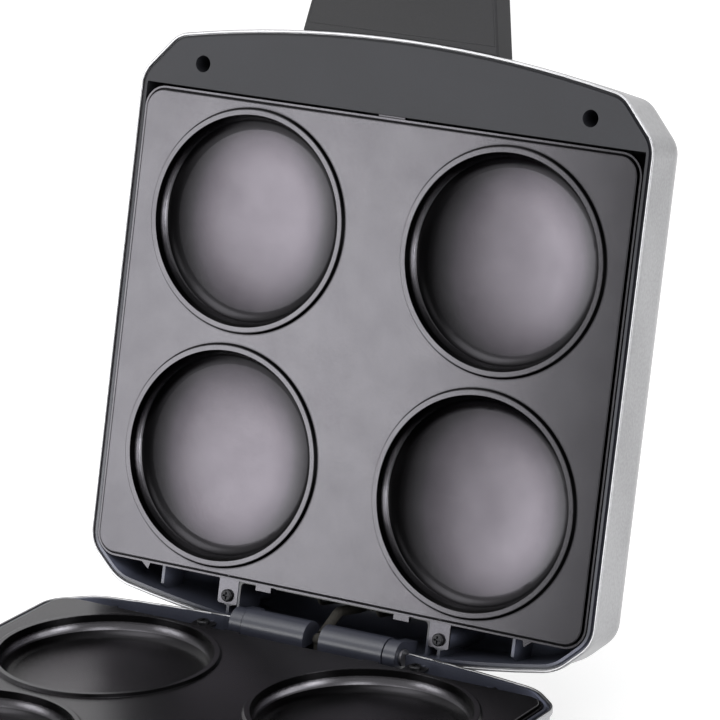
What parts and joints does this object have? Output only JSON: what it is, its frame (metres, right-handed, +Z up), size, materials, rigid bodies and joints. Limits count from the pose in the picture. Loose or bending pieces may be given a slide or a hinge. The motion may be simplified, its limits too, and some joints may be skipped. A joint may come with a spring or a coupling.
{
  "type": "arepa maker",
  "caption": "Countertop arepa cooker: a hinged lid and a base, each with a cast plate of round cavities with raised rings, steel skins, handles and a snap latch.",
  "frame": {"origin": "on the table, under the middle of the cooker's footprint with its lid open on its stop", "axes": "+Z up, the front with the handles towards -Y, the hinge at the rear, X across"},
  "size_m": [0.2746, 0.4252, 0.3853],
  "materials": {
    "housing_plastic": "moulded dark plastic",
    "handle_plastic": "moulded black plastic",
    "steel_skin": "brushed stainless steel",
    "pan_plastic": "moulded black plastic",
    "foot_rubber": "moulded rubber",
    "cast_plate": "satin dark non-stick coating",
    "plated_steel": "zinc plated",
    "dark_screw": "blackened steel",
    "element_sheath": "dull heat-tinted steel",
    "shield_sheet": "mill finish",
    "control_plastic": "phenolic",
    "fuse_sleeve": "glass-fibre sleeve",
    "lead_sleeve": "woven glass-fibre sleeve",
    "red_lens": "clear red plastic",
    "green_lens": "clear green plastic",
    "lamp_glass": "neon lamp"
  },
  "bodies": {
    "base": {"base_shell": "housing_plastic", "base_band": "steel_skin", "base_pan": "pan_plastic", "rubber_feet": "foot_rubber", "base_screws": "dark_screw", "hinge_pins": "plated_steel", "cord_bush": "foot_rubber", "thermostat": "control_plastic", "thermal_fuse": "fuse_sleeve", "terminal_block": "control_plastic", "base_wiring": "lead_sleeve", "base_handle": "handle_plastic", "base_handle_screws": "plated_steel", "lower_plate": "cast_plate", "lower_brackets": "plated_steel", "lower_rivets": "plated_steel", "lower_plate_screws": "dark_screw", "lower_element": "element_sheath", "lower_element_clips": "plated_steel", "lower_heat_shield": "shield_sheet", "lower_shield_screws": "plated_steel"},
    "lid": {"lid_shell": "housing_plastic", "lid_cover": "steel_skin", "lid_screws": "dark_screw", "lid_wiring": "lead_sleeve", "lid_handle": "handle_plastic", "lid_handle_cap": "handle_plastic", "lid_handle_screws": "plated_steel", "latch_pin": "plated_steel", "power_lens": "red_lens", "ready_lens": "green_lens", "indicator_lamps": "lamp_glass", "lamp_holder": "control_plastic", "upper_plate": "cast_plate", "upper_brackets": "plated_steel", "upper_rivets": "plated_steel", "upper_plate_screws": "dark_screw", "upper_element": "element_sheath", "upper_element_clips": "plated_steel", "upper_heat_shield": "shield_sheet", "upper_shield_screws": "plated_steel"},
    "latch": {"latch": "handle_plastic"}
  },
  "joints": [
    {"name": "lid_hinge", "type": "hinge", "parent": "base", "child": "lid", "pos_m": [0, 0.1044, 0.053], "axis": [1, 0, 0], "range_deg": [0, 103]},
    {"name": "latch_pivot", "type": "hinge", "parent": "lid", "child": "latch", "pos_m": [0, 0.1928, 0.35588], "axis": [1, 0, 0], "range_deg": [0, 25]}
  ]
}
